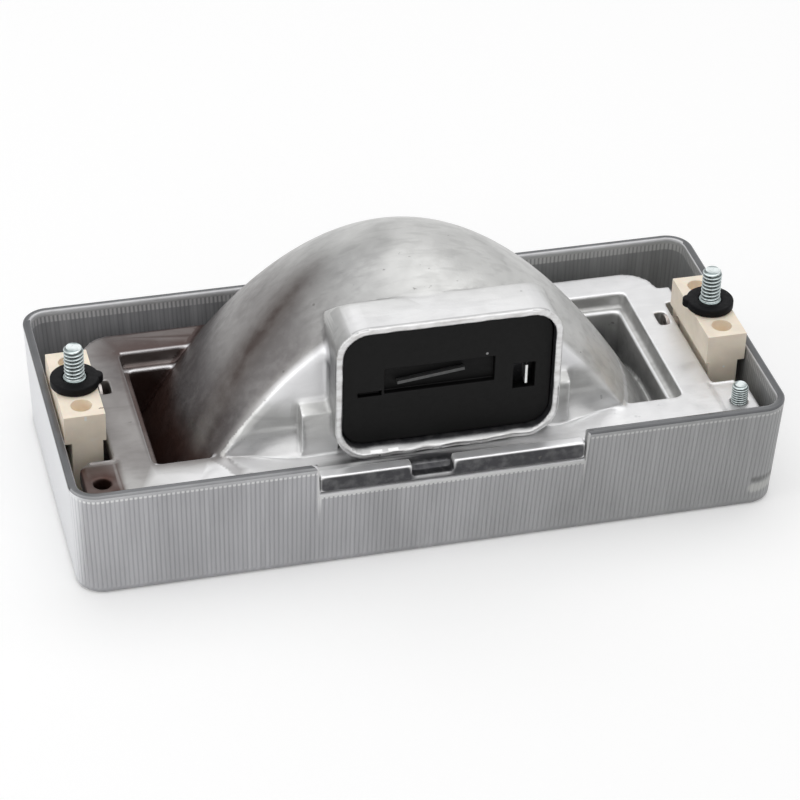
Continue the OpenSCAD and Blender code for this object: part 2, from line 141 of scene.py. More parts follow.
def ease(start, end, value):
    """Nought at the start, one at the end, smooth between."""
    share = max(0.0, min(1.0, (value - start) / (end - start)))
    return share * share * (3 - 2 * share)


# Outlines and sweeps
def rounded_outline(half_l, half_w, radius, share):
    """Point and outward direction at a share of the way round a rounded rectangle."""
    straight_l = 2 * (half_l - radius)
    straight_w = 2 * (half_w - radius)
    arc = math.pi / 2 * radius
    way = share % 1.0 * (2 * straight_l + 2 * straight_w + 4 * arc)
    sides = (
        (straight_l, Vector((-half_l + radius, -half_w)), 0),
        (straight_w, Vector((half_l, -half_w + radius)), 90),
        (straight_l, Vector((half_l - radius, half_w)), 180),
        (straight_w, Vector((-half_l, half_w - radius)), 270),
    )
    for length, start, turn in sides:
        along = Vector((math.cos(math.radians(turn)), math.sin(math.radians(turn))))
        out = Vector((along.y, -along.x))
        if way <= length:
            return start + along * way, out
        way -= length
        if way <= arc:
            centre = start + along * length - out * radius
            cos, sin = math.cos(way / radius), math.sin(way / radius)
            out = Vector((out.x * cos - out.y * sin, out.x * sin + out.y * cos))
            return centre + out * radius, out
        way -= arc
    return sides[0][1], Vector((0, -1))


def swept_rings(bm, rings):
    """Extrudes the first ring of points through all the others, and returns the verts of each ring."""
    verts = bmesh.ops.create_circle(bm, cap_ends=False, segments=len(rings[0]), radius=1)["verts"]
    edges = list({e for v in verts for e in v.link_edges})
    made = [ordered_loop(verts)]
    place(made[0], rings[0])
    for ring in rings[1:]:
        grown = bmesh.ops.extrude_edge_only(bm, edges=edges)["geom"]
        edges = [g for g in grown if isinstance(g, bmesh.types.BMEdge) and not g.link_faces[1:]]
        new = {g for g in grown if isinstance(g, bmesh.types.BMVert)}
        made.append([next(w for w in (e.other_vert(v) for e in v.link_edges) if w in new) for v in made[-1]])
        place(made[-1], ring)
    return made


def ordered_loop(verts):
    """The verts of one closed loop in the order of its edges."""
    start = verts[0]
    order = [start]
    before = None
    at = start
    while True:
        ahead = [e.other_vert(at) for e in at.link_edges]
        step = ahead[0] if before is None or ahead[0] is not before else ahead[1]
        if step is start:
            return order
        order.append(step)
        before, at = at, step


def place(verts, points):
    """Puts each vert of a ring at its point."""
    for vert, point in zip(verts, points):
        vert.co = point


def loop_edges(order):
    """Edges of a loop of verts."""
    wanted = set(order)
    return [e for e in {e for v in order for e in v.link_edges} if wanted.issuperset(e.verts)]


def close_ends(bm, *loops):
    """Closes each of these loops with a face, and turns all faces outwards."""
    for loop in loops:
        bmesh.ops.contextual_create(bm, geom=loop_edges(loop))
    bmesh.ops.recalc_face_normals(bm, faces=bm.faces)


# Node trees
class Nodes:
    """The nodes of a material or of the world."""

    def __init__(self, tree):
        self.tree = tree

    def add(self, kind, **values):
        """Adds a node and sets its inputs by name or its properties."""
        node = self.tree.nodes.new(kind)
        for key, value in values.items():
            label = key.replace("_", " ").title()
            if label in node.inputs:
                node.inputs[label].default_value = value
            else:
                setattr(node, key, value)
        return node

    def fill(self, socket, value):
        """Links a socket to a field, or sets its colour or its number."""
        if isinstance(value, bpy.types.NodeSocket):
            self.tree.links.new(value, socket)
        elif isinstance(value, tuple):
            socket.default_value = (*value, 1.0)
        else:
            socket.default_value = value

    def maths(self, operation, first, second):
        """Reckons with two fields or numbers."""
        node = self.add("ShaderNodeMath", operation=operation)
        self.fill(node.inputs[0], first)
        self.fill(node.inputs[1], second)
        return node.outputs["Value"]

    def times(self, first, second):
        """Product of two fields or numbers."""
        return self.maths("MULTIPLY", first, second)

    def larger(self, first, second):
        """The larger of two fields or numbers."""
        return self.maths("MAXIMUM", first, second)

    def without(self, share):
        """One less this share."""
        return self.maths("SUBTRACT", 1.0, share)

    def mix(self, share, first, second, mode="MIX"):
        """Mixes two colours or fields by a share."""
        node = self.add("ShaderNodeMix", data_type="RGBA", blend_type=mode)
        self.fill(node.inputs["Factor"], share)
        self.fill(node.inputs[6], first)
        self.fill(node.inputs[7], second)
        return node.outputs[2]

    def tint(self, base, share, strength, colour):
        """Lays a colour over the base, as strong as the share times the strength."""
        return self.mix(self.times(share, strength), base, colour)

    def object_point(self, stretch=(1, 1, 1)):
        """Object coordinates in metres, stretched for a grain that runs one way."""
        mapping = self.add("ShaderNodeMapping", scale=stretch)
        self.fill(mapping.inputs["Vector"], self.add("ShaderNodeTexCoord").outputs["Object"])
        return mapping.outputs["Vector"]

    def along(self, axis):
        """Place along the X, Y or Z axis, in metres."""
        split = self.add("ShaderNodeSeparateXYZ")
        self.fill(split.inputs["Vector"], self.object_point())
        return split.outputs[axis]

    def grain(self, size, detail=4.0, stretch=(1, 1, 1), distortion=0.0):
        """Noise whose grain has this size in millimetres."""
        noisy = self.add("ShaderNodeTexNoise", scale=1 / (size * MM), detail=detail, distortion=distortion)
        self.fill(noisy.inputs["Vector"], self.object_point(stretch))
        return noisy.outputs["Fac"]

    def ramp(self, source, *stops):
        """A colour ramp of (place, colour or grey) stops."""
        node = self.add("ShaderNodeValToRGB")
        elements = node.color_ramp.elements
        while len(elements) < len(stops):
            elements.new(0.5)
        for element, (at, tone) in zip(elements, stops):
            element.position = at
            element.color = (*tone, 1.0) if isinstance(tone, tuple) else (tone, tone, tone, 1.0)
        self.fill(node.inputs["Fac"], source)
        return node.outputs["Color"]

    def cloud(self, size, detail, *stops, stretch=(1, 1, 1)):
        """Noise of this size turned into the tones of the stops."""
        return self.ramp(self.grain(size, detail, stretch), *stops)

    def spot(self, at_mm, radius_mm, soft=0.5):
        """One inside a ball round a point in millimetres, nought outside it."""
        node = self.add("ShaderNodeVectorMath", operation="DISTANCE")
        self.fill(node.inputs[0], self.object_point())
        node.inputs[1].default_value = tuple(c * MM for c in at_mm)
        return self.without(self.span(node.outputs["Value"], radius_mm * soft * MM, radius_mm * MM))

    def span(self, source, low, high):
        """Nought below low, one above high, smooth between."""
        node = self.add("ShaderNodeMapRange", interpolation_type="SMOOTHSTEP", from_min=low, from_max=high)
        self.fill(node.inputs["Value"], source)
        return node.outputs["Result"]

    def attribute(self, name):
        """A number that the mesh carries on its points."""
        return self.add("ShaderNodeAttribute", attribute_type="GEOMETRY", attribute_name=name).outputs["Fac"]

    def seen(self):
        """One for what the eye sees straight on, in gloss or through glass."""
        rays = self.add("ShaderNodeLightPath")
        seen = self.larger(rays.outputs["Is Camera Ray"], rays.outputs["Is Glossy Ray"])
        return self.larger(seen, rays.outputs["Is Transmission Ray"])


class Finish(Nodes):
    """A material with its Principled shader."""

    def __init__(self, name, colour, metallic=0.0, roughness=0.5):
        self.material = bpy.data.materials.new(name)
        self.material.use_nodes = True
        self.material.diffuse_color = (*colour, 1.0)
        super().__init__(self.material.node_tree)
        self.shader = self.tree.nodes["Principled BSDF"]
        self.set(Base_Color=tuple(colour), Metallic=metallic, Roughness=roughness)

    def set(self, **values):
        """Links or sets inputs of the shader by name."""
        for key, value in values.items():
            self.fill(self.shader.inputs[key.replace("_", " ")], value)

    def relief(self, height, depth_mm, strength):
        """Relief of the surface from a height between nought and one."""
        node = self.add("ShaderNodeBump", strength=strength, distance=depth_mm * MM)
        self.fill(node.inputs["Height"], height)
        self.set(Normal=node.outputs["Normal"])


# Finishes
PAINTED_SHADE_GREY = (0.05, 0.05, 0.055)
PAINTED_DARK_REFLECTION = (0.05, 0.04, 0.036)
PAINTED_BROWN_REFLECTION = (0.055, 0.025, 0.019)
PAINTED_HIGHLIGHT_METAL = (0.93, 0.93, 0.95)
EDGE_WEAR_AND_HIGHLIGHT = (0.93, 0.93, 0.93)
PAINTED_HOLLOW_SHADE = (0.12, 0.12, 0.125)
PIT_DIRT = (0.12, 0.115, 0.11)
PAINTED_THREAD_SHADE = (0.075, 0.085, 0.085)
PAINTED_CREST_HIGHLIGHT = (0.85, 0.9, 0.9)
PLATE_EDGE_WEAR_AND_HIGHLIGHT = (0.9, 0.92, 0.92)
PAINTED_REFLECTION_LINE = (0.75, 0.75, 0.77)
PAINTED_CORNER_GLINT = (0.85, 0.85, 0.83)
PAINTED_CORNER_DARK = (0.06, 0.06, 0.06)
SHADED_GLASS = (0.2, 0.205, 0.19)
GATE_MARK = (0.98, 0.96, 0.92)
SCUFF = (0.98, 0.94, 0.86)
CRACK = (0.2, 0.14, 0.09)

# Places of small marks, in millimetres
# Places of the painted reflection and the painted dark arc in the near-right corner of the glass
CORNER_POINTS = tuple(
    (99.6 + 7.6 * math.cos(math.radians(turn)), -41.8 - 7.6 * math.sin(math.radians(turn)))
    for turn in range(24, 97, 9)
)
GATE_POINTS = ((-98.4, -17, 40.3), (-98.4, -17, 39.6), (98.4, -17, 29.6))
CRACK_POINTS = tuple((-93.8 + 0.25 * i, -14.1 + 0.12 * (i % 3), 41) for i in range(7))
CAST_PITS = (
    ((63.8, -36.8, 30), 0.7),
    ((64.7, -37.2, 30), 0.5),
    ((72.2, -32.7, 30), 0.45),
    ((-60.2, 17.5, 35.1), 2.6),
    ((-30.3, -14.9, 68.8), 0.6),
    ((-42, -27.1, 55.2), 0.5),
    ((27.8, -29.8, 75), 0.5),
    ((31.3, -37.3, 75), 0.45),
)


def cast_metal(colour):
    """Raw die casting: soft grain and flow streaks, painted shade, a painted dark reflection band, painted
    brown reflection and shade, painted highlights, painted shade in the hollows, cast pits, and bright edges
    that are partly wear and partly painted highlight.
    """
    metal = Finish("cast_metal", colour, 0.62, 0.4)
    wide = metal.grain(30, 5.0, (1, 1, 1.6), 0.4)
    base = metal.mix(1.0, colour, metal.ramp(wide, (0.32, 0.7), (0.5, 0.9), (0.7, 1.0)), "MULTIPLY")
    streak = metal.grain(4, 5.0, (0.35, 1.3, 1.3), 0.5)
    base = metal.mix(0.35, base, metal.ramp(streak, (0.36, 0.66), (0.52, 1.0)), "MULTIPLY")
    mottle = metal.cloud(3, 4.0, (0.32, 0.88), (0.55, 1.0))
    # Painted shade: where the shade attribute is set the metal darkens towards a dull grey
    base = metal.tint(base, metal.attribute("shade"), mottle, PAINTED_SHADE_GREY)
    uneven = metal.cloud(9, 4.0, (0.3, 0.7), (0.6, 1.0))
    # Painted reflection: a dark band up the left flank of the bowl
    base = metal.tint(base, metal.attribute("painted_reflection_band"), uneven, PAINTED_DARK_REFLECTION)
    # Painted brown reflection and shade at the left end and on the far side of the left flank
    warm = metal.attribute("painted_brown")
    patch = metal.cloud(15, 4.0, (0.34, 0.85), (0.6, 1.0))
    base = metal.tint(base, warm, patch, PAINTED_BROWN_REFLECTION)
    pits = metal.cloud(2.2, 2.0, (0.22, 1.0), (0.27, 0.0))
    for at, radius in CAST_PITS:
        pits = metal.larger(pits, metal.spot(at, radius))
    base = metal.tint(base, pits, 0.6, PIT_DIRT)
    # Painted highlights along the ridge, the ledges, the top of the box, the near wall and the near strip
    base = metal.tint(base, metal.attribute("painted_highlight"), 0.85, PAINTED_HIGHLIGHT_METAL)
    # Bright sharp edges: partly wear, partly painted highlight
    pointed = metal.add("ShaderNodeNewGeometry").outputs["Pointiness"]
    edge = metal.times(metal.span(pointed, 0.515, 0.56), metal.without(warm))
    base = metal.tint(base, edge, 0.8, EDGE_WEAR_AND_HIGHLIGHT)
    # Painted shade in hollows and inner corners
    hollow_shade = metal.without(metal.span(pointed, 0.42, 0.485))
    base = metal.tint(base, hollow_shade, 0.45, PAINTED_HOLLOW_SHADE)
    metal.set(Base_Color=base, Roughness=metal.cloud(3.5, 4.0, (0.3, 0.3), (0.7, 0.46)))
    height = metal.maths("ADD", metal.times(metal.grain(0.6, 3.0), 0.5), streak)
    metal.relief(metal.maths("SUBTRACT", height, metal.times(pits, 0.8)), 0.12, 0.4)
    return metal


def trimmed_metal(colour):
    """Bright metal where the mouth of the bulb box was trimmed."""
    metal = Finish("trimmed_metal", colour, 0.9, 0.28)
    scratches = metal.cloud(1.6, 4.0, (0.3, (0.55, 0.54, 0.53)), (0.6, colour), stretch=(0.4, 1, 1))
    metal.set(Base_Color=scratches)
    metal.relief(metal.grain(0.7, 3.0, (0.3, 1, 1)), 0.04, 0.4)
    return metal


def mirror_metal():
    """Bright reflecting skin inside the bowl."""
    mirror = Finish("mirror_skin", (0.9, 0.9, 0.91), 1.0, 0.1)
    mirror.set(
        Base_Color=mirror.cloud(20, 3.0, (0.3, (0.8, 0.8, 0.81)), (0.65, (0.93, 0.93, 0.94))),
        Roughness=mirror.cloud(12, 3.0, (0.3, 0.08), (0.7, 0.15)),
    )
    mirror.relief(mirror.grain(9, 2.0), 0.04, 0.2)
    return mirror


def zinc_plate(colour):
    """Blue-grey zinc with painted shade in the thread and a painted highlight along its crests."""
    zinc = Finish("zinc_plate", colour, 0.85, 0.3)
    thread = zinc.attribute("thread")
    base = zinc.cloud(1.8, 4.0, (0.32, tuple(0.6 * c for c in colour)), (0.62, colour))
    # Painted shade in the thread grooves and a painted highlight on the crests
    base = zinc.mix(zinc.span(thread, 0.3, 0.85), base, PAINTED_THREAD_SHADE)
    crest = zinc.times(zinc.span(thread, 0.02, 0.06), zinc.without(zinc.span(thread, 0.12, 0.3)))
    base = zinc.tint(base, crest, 0.75, PAINTED_CREST_HIGHLIGHT)
    zinc.set(Base_Color=base, Roughness=zinc.cloud(0.9, 3.0, (0.3, 0.24), (0.7, 0.42)))
    zinc.relief(zinc.grain(0.5, 3.0), 0.04, 0.4)
    return zinc


def plated_metal(name, colour, roughness, edge_wear_and_highlight=0.7):
    """Plated steel with a faint uneven colour, painted shade in its grooves, and bright edges that are
    partly wear and partly painted highlight.
    """
    plate = Finish(name, colour, 1.0, roughness)
    base = plate.cloud(2.4, 4.0, (0.32, tuple(0.7 * c for c in colour)), (0.62, colour))
    pointed = plate.add("ShaderNodeNewGeometry").outputs["Pointiness"]
    # Painted shade in grooves; the bright edges are partly wear and partly painted highlight
    groove = plate.without(plate.span(pointed, 0.4, 0.49))
    base = plate.tint(base, groove, 0.85, tuple(0.12 * c for c in colour))
    base = plate.tint(base, plate.span(pointed, 0.52, 0.62), edge_wear_and_highlight, PLATE_EDGE_WEAR_AND_HIGHLIGHT)
    plate.set(Base_Color=base, Roughness=plate.cloud(0.9, 3.0, (0.3, roughness), (0.7, roughness + 0.16)))
    plate.relief(plate.grain(0.45, 3.0), 0.04, 0.4)
    return plate


def moulded_plastic(name, colour, roughness, relief_mm, specular):
    """Moulded plastic or rubber with a fine pitted skin."""
    skin = Finish(name, colour, 0.0, roughness)
    skin.set(
        Base_Color=skin.cloud(7, 4.0, (0.3, tuple(0.86 * c for c in colour)), (0.6, colour)),
        Roughness=skin.cloud(1.2, 3.0, (0.3, roughness - 0.07), (0.7, roughness + 0.08)),
        Specular_IOR_Level=specular,
    )
    skin.relief(skin.grain(0.4), relief_mm, 0.5)
    return skin


def fluted_glass(name, groove, crest, roughness, metallic, share):
    """Fluted wall of the tray with painted light and shade: a silvery painted highlight along each crest,
    painted shade in each groove, painted reflection lines, a painted reflection and a painted dark arc in
    the near corner, painted shade towards the right and painted light at the left end.
    """
    glass = Finish(name, crest, metallic, roughness)
    flute = glass.attribute("flute")
    # Painted light and shade across each flute: dark at the foot, shade in the groove, highlight on the
    # crest, bright ticks and cut edges
    tone = glass.ramp(
        flute, (0.08, (0.05, 0.052, 0.055)), (0.3, groove), (0.45, groove), (0.62, crest), (0.72, crest),
        (0.98, (0.92, 0.92, 0.92))
    )
    cloud = glass.cloud(24, 3.0, (0.32, 0.8), (0.62, 1.0), stretch=(1, 1, 0.4))
    tone = glass.mix(1.0, tone, cloud, "MULTIPLY")
    # Painted reflection: fine silvery vertical lines
    lines = glass.cloud(1.7, 3.0, (0.4, 0.0), (0.58, 0.4), (0.66, 1.0), stretch=(1, 1, 0.02))
    tone = glass.tint(tone, lines, 0.22, PAINTED_REFLECTION_LINE)
    # Painted reflection and a painted dark arc in the near-right corner
    corner_glint, arc = 0.0, 0.0
    for x, y in CORNER_POINTS:
        corner_glint = glass.larger(corner_glint, glass.spot((x, y, 6.2), 2.4))
        arc = glass.larger(arc, glass.spot((x, y, 9.4), 1.7, 0.3))
    tone = glass.tint(tone, corner_glint, 0.85, PAINTED_CORNER_GLINT)
    tone = glass.tint(tone, arc, 0.75, PAINTED_CORNER_DARK)
    # Painted shade towards the right of the walls
    tone = glass.tint(tone, glass.span(glass.along("X"), -0.07, 0.09), 0.45, SHADED_GLASS)
    # Painted light: the left end of the walls is much lighter
    end = glass.without(glass.span(glass.along("X"), -0.107, -0.104))
    clear = glass.ramp(flute, (0.45, (0.78, 0.79, 0.81)), (0.62, (0.97, 0.98, 1.0)))
    tone = glass.tint(tone, end, 0.85, clear)
    glass.set(Base_Color=tone, IOR=1.5, Transmission_Weight=share)
    glass.relief(glass.grain(3, 3.0, (1, 1, 0.5)), 0.05, 0.3)
    return glass


def polished_rim():
    """Smooth rim of the glass, with painted shade along its outer edge and a painted highlight along the
    inner one.
    """
    rim = Finish("fire_polished_rim", (0.13, 0.135, 0.145), 0.0, 0.14)
    across = rim.ramp(
        rim.attribute("flute"), (0.1, (0.05, 0.052, 0.056)), (0.45, (0.15, 0.154, 0.163)),
        (0.68, (0.18, 0.184, 0.194)), (0.95, (0.9, 0.9, 0.92))
    )
    cloud = rim.cloud(12, 4.0, (0.3, 0.75), (0.62, 1.0))
    rim.set(Base_Color=rim.mix(1.0, across, cloud, "MULTIPLY"), Transmission_Weight=0.12, IOR=1.5)
    rim.relief(rim.grain(5, 3.0), 0.05, 0.3)
    return rim


def block_plastic(colour):
    """Cream moulded plastic with its gate marks, a hair crack and fine scuffs."""
    cream = Finish("block_plastic", colour, 0.0, 0.48)
    base = cream.cloud(8, 4.0, (0.3, tuple(0.88 * c for c in colour)), (0.6, colour))
    scuffs = cream.cloud(1.5, 4.0, (0.66, 0.0), (0.72, 1.0), stretch=(0.3, 1, 1))
    base = cream.tint(base, scuffs, 0.3, SCUFF)
    for at in GATE_POINTS:
        base = cream.mix(cream.spot(at, 0.5), base, GATE_MARK)
    for at in CRACK_POINTS:
        base = cream.tint(base, cream.spot(at, 0.32), 0.8, CRACK)
    cream.set(
        Base_Color=base, Roughness=cream.cloud(1.2, 3.0, (0.3, 0.4), (0.7, 0.56)),
        Specular_IOR_Level=0.4, Subsurface_Weight=0.12, Subsurface_Scale=0.002,
    )
    cream.relief(cream.grain(0.4), 0.05, 0.5)
    return cream


def clear_glass(name, colour):
    """Pressed glass that the light passes through."""
    glass = Finish(name, colour, 0.0, 0.02)
    glass.set(IOR=1.5, Transmission_Weight=1.0)
    glass.relief(glass.grain(6, 3.0), 0.04, 0.3)
    return glass


class LampFinishes(bpy.types.PropertyGroup):
    """Colours of the lamp's finishes."""

    glass: FloatVectorProperty(
        name="Glass", description="Tint of the pressed glass", subtype="COLOR", default=(0.93, 0.94, 0.95)
    )
    casting: FloatVectorProperty(
        name="Casting", description="Colour of the raw casting", subtype="COLOR", default=(0.6, 0.6, 0.59)
    )
    blocks: FloatVectorProperty(
        name="Blocks", description="Colour of the blocks", subtype="COLOR", default=(1.0, 0.885, 0.735)
    )
    zinc: FloatVectorProperty(
        name="Zinc", description="Colour of the studs and screw", subtype="COLOR", default=(0.36, 0.42, 0.42)
    )
    rubber: FloatVectorProperty(
        name="Rubber", description="Colour of the rubber", subtype="COLOR", default=(0.005, 0.005, 0.006)
    )
    cover: FloatVectorProperty(
        name="Cover", description="Colour of the bulb cover", subtype="COLOR", default=(0.011, 0.011, 0.011)
    )


class LampSizes(bpy.types.PropertyGroup):
    """Sizes of the details that the frame leaves plain, in millimetres."""

    flute_pitch: FloatProperty(
        name="Flute pitch", description="Width of one flute of the walls", default=1.36, min=1.0, max=4.0
    )
    flute_depth: FloatProperty(
        name="Flute depth", description="Depth between two flutes", default=0.25, min=0.05, max=0.5
    )
    band: FloatProperty(
        name="Plain band", description="Height of the band under the rim", default=1.7, min=0.5, max=4.0
    )
    cast_grain: FloatProperty(
        name="Casting detail", description="Finest detail of the casting", default=0.6, min=0.3, max=2.0
    )
    thread_pitch: FloatProperty(
        name="Thread pitch", description="Pitch of the stud threads", default=1.25, min=0.5, max=1.5
    )
    block_radius: FloatProperty(
        name="Block edges", description="Radius of the edges of the blocks", default=0.35, min=0.1, max=0.8
    )


class LampStage(bpy.types.PropertyGroup):
    """The photograph's view and the studio round the lamp."""

    azimuth: FloatProperty(
        name="Azimuth", description="Direction of the camera", subtype="ANGLE", default=-0.26864291
    )
    elevation: FloatProperty(
        name="Elevation", description="Height angle of the camera", subtype="ANGLE", default=0.611275252
    )
    roll: FloatProperty(name="Roll", description="Roll of the camera", subtype="ANGLE", default=0.0300481801)
    distance: FloatProperty(
        name="Distance", description="From the camera to its aim", subtype="DISTANCE", default=0.959392
    )
    aim: FloatVectorProperty(
        name="Aim", description="Point that the camera looks at", subtype="TRANSLATION",
        default=(0.0082926, 0.0276561, 0.0)
    )
    focal: FloatProperty(
        name="Focal length", description="Focal length in millimetres on a 36 mm sensor", default=136.191
    )
    key: FloatProperty(name="Key light", description="Power of the overhead light", default=11.0)
    fill: FloatProperty(name="Fill light", description="Power of the side light", default=1.6)
    sky: FloatProperty(name="Sky", description="Strength of the surrounding light", default=0.42)


class LAMP_OT_glass_tray(bpy.types.Operator):
    """Builds the fluted glass tray with the ribs inside its front face"""

    bl_idname = "lamp.glass_tray"
    bl_label = "Glass tray"

    # Rings of the wall: its middle, plain band, outer turn of the rim, crest of the rim, and inside
    middle_row, band_row, turn_row, crest_row, inside_row = 8, 12, 14, 16, 20
    # Painted light and shade across the far rim
    far_rim_tones = (0.3, 0.95, 0.85, 0.85)

    def execute(self, context):
        sizes = context.scene.lamp_sizes
        half_l, half_w, rim_z = LENS_HIGH
        radius, wall, draft, foot, floor, edge, fillet = 8.0, 2.5, 1.5, 1.2, 4.0, 0.8, 1.5
        around = 2 * (2 * half_l + 2 * half_w - 4 * radius) + 2 * math.pi * radius
        lobe = (0.0, 0.8, 1.0, 0.8)
        columns = round(around / sizes.flute_pitch) * len(lobe)
        notch_low, notch_high, notch_z, start_z = -36.5, 44.3, 26.5, 3.4
        top = rim_z - sizes.band
        # Tones across one flute: painted shade in the groove, painted highlight on the crest, painted
        # highlight ticks under the band, and a painted lit band inside
        fluted, ticked, lit = (0.42, 0.62, 0.7, 0.62), (0.42, 1.0, 1.0, 1.0), (0.6, 0.84, 0.9, 0.84)
        rings = []
        tones = []

        def add_ring(inset, z, relief, tone, extra=0.0):
            """Adds a ring of the wall: relief nought is plain, one is fully fluted."""
            drafted = inset + draft * (rim_z - z) / rim_z + extra
            points = []
            for i in range(columns):
                at, out = rounded_outline(
                    half_l - drafted, half_w - drafted, radius - inset - extra / 2, i / columns
                )
                at = at - out * (sizes.flute_depth * (1 - lobe[i % len(lobe)]) * relief)
                height = z
                if out.y < -0.99 and notch_low < at.x < notch_high and z > start_z:
                    height = start_z + (z - start_z) * (notch_z - start_z) / (rim_z - start_z)
                points.append(Vector((at.x, at.y, height)))
            rings.append(points)
            tones.append(tone if isinstance(tone, tuple) else (tone,) * len(lobe))

        def corner(turn):
            """How far a rounded edge has left its two sides at this turn."""
            return 1 - math.cos(math.radians(turn)), 1 - math.sin(math.radians(turn))

        # Painted shadow: the foot of the wall darkens towards the floor
        for turn in (0, 22.5, 45, 67.5, 90):
            aside, down = corner(turn)
            add_ring(0, foot * aside, 0, 0.1 + turn / 300, foot * down)
        for z, relief, tone in (
            (1.7, 0, 0.5), (2.3, 0.9, fluted), (start_z, 1, fluted), (18, 1, fluted), (top - 0.9, 1, fluted),
            (top - 0.75, 1, ticked), (top - 0.15, 0.7, ticked), (top, 0.05, 0.1), (rim_z - edge, 0, 0.0),
        ):
            add_ring(0, z, relief, tone)
        # Painted shade on the outer turn of the rim
        for turn, tone in ((30, 0.15), (60, 0.4), (90, 0.6)):
            aside, down = corner(turn)
            add_ring(edge * aside, rim_z - edge * down, 0, tone)
        # Painted highlight along the inner edge of the rim
        for turn, tone in ((60, 0.62), (30, 1.0), (0, 0.85)):
            aside, down = corner(turn)
            add_ring(wall - edge * aside, rim_z - edge * down, 0, tone)
        # Inside rings: a painted lit band under the rim and painted shade in the grooves
        for z, relief, tone in (
            (top, 0, 0.8), (top - 0.2, -0.3, lit), (top - 2.1, -0.3, lit), (top - 2.5, -0.3, fluted),
            (18, -0.3, fluted), (floor + 3, -0.3, fluted), (floor + 2, 0, 0.5),
        ):
            add_ring(wall, z, relief, tone)
        for turn in (30, 60, 90):
            aside, down = corner(turn)
            add_ring(wall, floor + fillet * down, 0, 0.5, fillet * aside)
        bm = bmesh.new()
        bm.verts.layers.float.new("flute")
        made = swept_rings(bm, rings)
        self.tone(bm, made, tones, rim_z, notch_z)
        bmesh.ops.contextual_create(bm, geom=loop_edges(made[0]))
        self.add_ribs(bm, made[-1], floor)
        bmesh.ops.recalc_face_normals(bm, faces=bm.faces)
        self.tell_apart(bm, made, floor, rim_z - edge - 0.1)
        # Groove and crest colours carry painted shade and painted highlight
        finishes = (
            fluted_glass("pressed_glass_walls", (0.44, 0.44, 0.46), (0.55, 0.55, 0.57), 0.3, 0.3, 0.1),
            fluted_glass("pressed_glass_inside", (0.29, 0.295, 0.31), (0.37, 0.375, 0.39), 0.45, 0.1, 0.05),
            polished_rim(),
            clear_glass("pressed_glass_face", tuple(context.scene.lamp_finishes.glass)),
        )
        make_piece("glass_tray", bm, finishes, "lamp", ["lens"], 50)
        return {"FINISHED"}

    def tone(self, bm, made, tones, rim_z, notch_z):
        """Gives each point its painted light and shade tone, lighter or darker along the rim, the band and
        the inside, with a painted highlight along the cut edges of the notch.
        """
        layer = bm.verts.layers.float["flute"]
        heights = [v.co.z for v in made[self.turn_row]]
        cut = set()
        for i, height in enumerate(heights):
            if abs(height - heights[i - 1]) > 1:
                cut |= {(i + k) % len(heights) for k in (-2, -1, 0, 1)}
        for row, loop in enumerate(made):
            on_rim = self.crest_row <= row < self.inside_row
            for i, v in enumerate(loop):
                v[layer] = tones[row][i % len(tones[row])]
                if row in (self.crest_row, self.crest_row + 1):
                    v[layer] -= 0.24 * ease(98, 105, abs(v.co.x))
                elif self.band_row <= row < self.crest_row and v.co.y < -44:
                    v[layer] = 0.77 - 0.22 * ease(-30, 60, v.co.x)
                elif self.inside_row <= row < self.inside_row + 3 and v.co.y > 0:
                    v[layer] += 0.1 * ease(-60, 60, v.co.x)
                if on_rim and v.co.y > 44:
                    v[layer] = self.far_rim_tones[row - self.crest_row]
                in_notch = v.co.z < notch_z + 0.1 and v.co.y < -47 and heights[i] < rim_z - 1
                if self.band_row <= row <= self.crest_row and in_notch or row > self.middle_row and i in cut:
                    v[layer] = 1.0

    def tell_apart(self, bm, made, floor, rim_z):
        """Gives each part of the tray its finish: walls, inside, rim or face."""
        outer = {v for loop in made[:self.band_row + 1] for v in loop}
        for f in bm.faces:
            centre = f.calc_center_median()
            if centre.z < floor + 1.2 and abs(f.normal.z) > 0.3:
                f.material_index = 3
            elif any(v in outer for v in f.verts):
                f.material_index = 0
            elif centre.z > rim_z or f.normal.z > 0.5:
                f.material_index = 2
            else:
                f.material_index = 1

    def add_ribs(self, bm, inner_loop, floor):
        """Ribs on the inside of the front face, closed to the foot of the wall."""
        pitch, rise, count, steps, half_w, runout = 8.0, 0.7, 25, 10, 36.0, 4
        half_l = pitch * count / 2
        grid = bmesh.ops.create_grid(bm, x_segments=count * steps, y_segments=12, size=1)["verts"]
        for v in grid:
            v.co.x *= half_l
            across = v.co.y * half_w
            v.co.y = across
            share = (v.co.x + half_l) / pitch % 1.0
            crown = rise * 4 * share * (1 - share)
            height = max(0.0, min(1.0, (half_w - abs(across)) / runout))
            v.co.z = floor + crown * math.sin(math.pi / 2 * height)
        edge = [e for e in {e for v in grid for e in v.link_edges} if len(e.link_faces) == 1]
        bmesh.ops.triangle_fill(bm, use_beauty=True, edges=edge + loop_edges(inner_loop))


